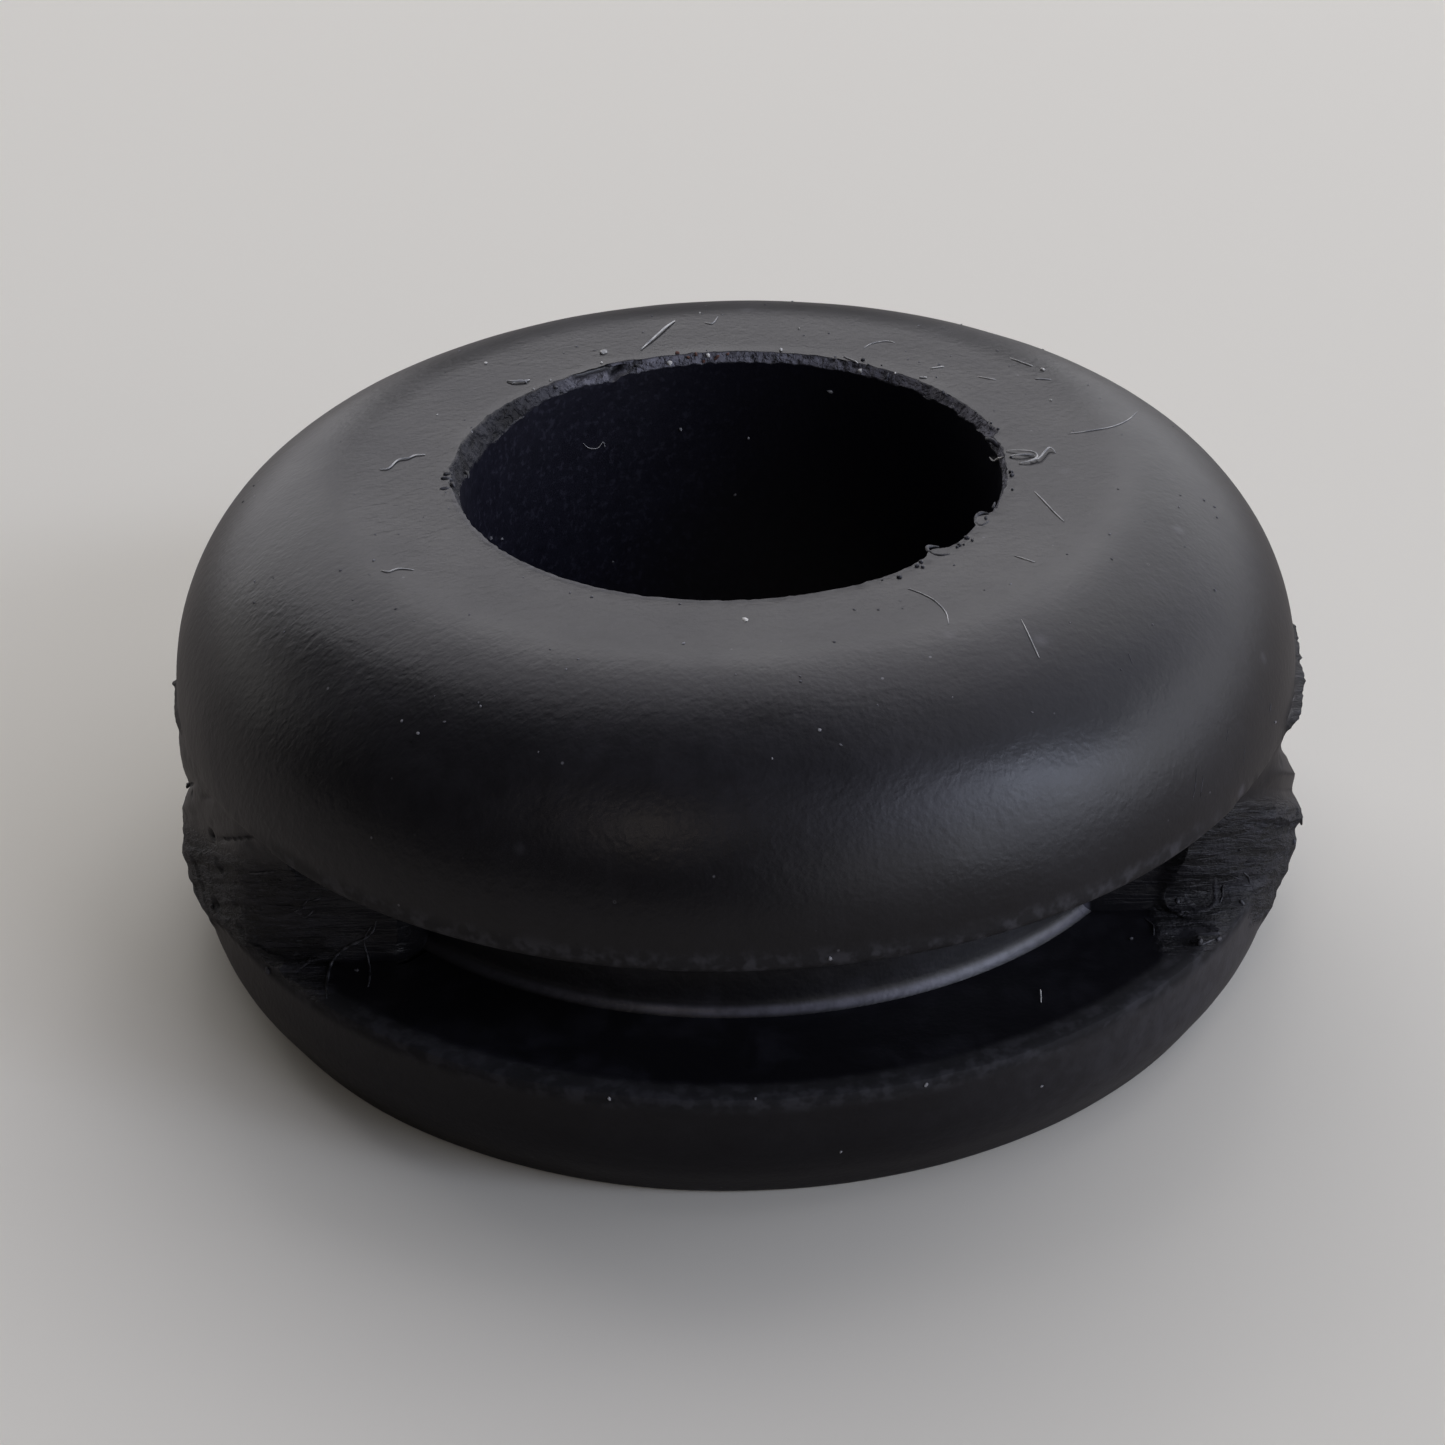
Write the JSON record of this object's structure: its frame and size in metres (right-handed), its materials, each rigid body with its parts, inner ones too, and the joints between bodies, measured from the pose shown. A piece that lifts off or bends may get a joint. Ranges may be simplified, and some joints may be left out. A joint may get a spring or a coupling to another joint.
{
  "type": "rubber grommet",
  "caption": "Round rubber grommet with a domed flange, a plain flange, a plain bore and a panel groove bridged at both sides by torn webs.",
  "frame": {"origin": "on the bore's axis, at the flat base that the grommet stands on", "axes": "+Z along the bore, from the plain flange up to the domed flange; +X through the middle of the narrower torn web, on the right when seen from -Y; -Y out of the open front of the groove"},
  "size_m": [0.0205, 0.02, 0.0086],
  "materials": {
    "black_rubber": "moulded, dull satin, dusty"
  },
  "bodies": {
    "root": {"grommet": "black_rubber"}
  },
  "joints": []
}
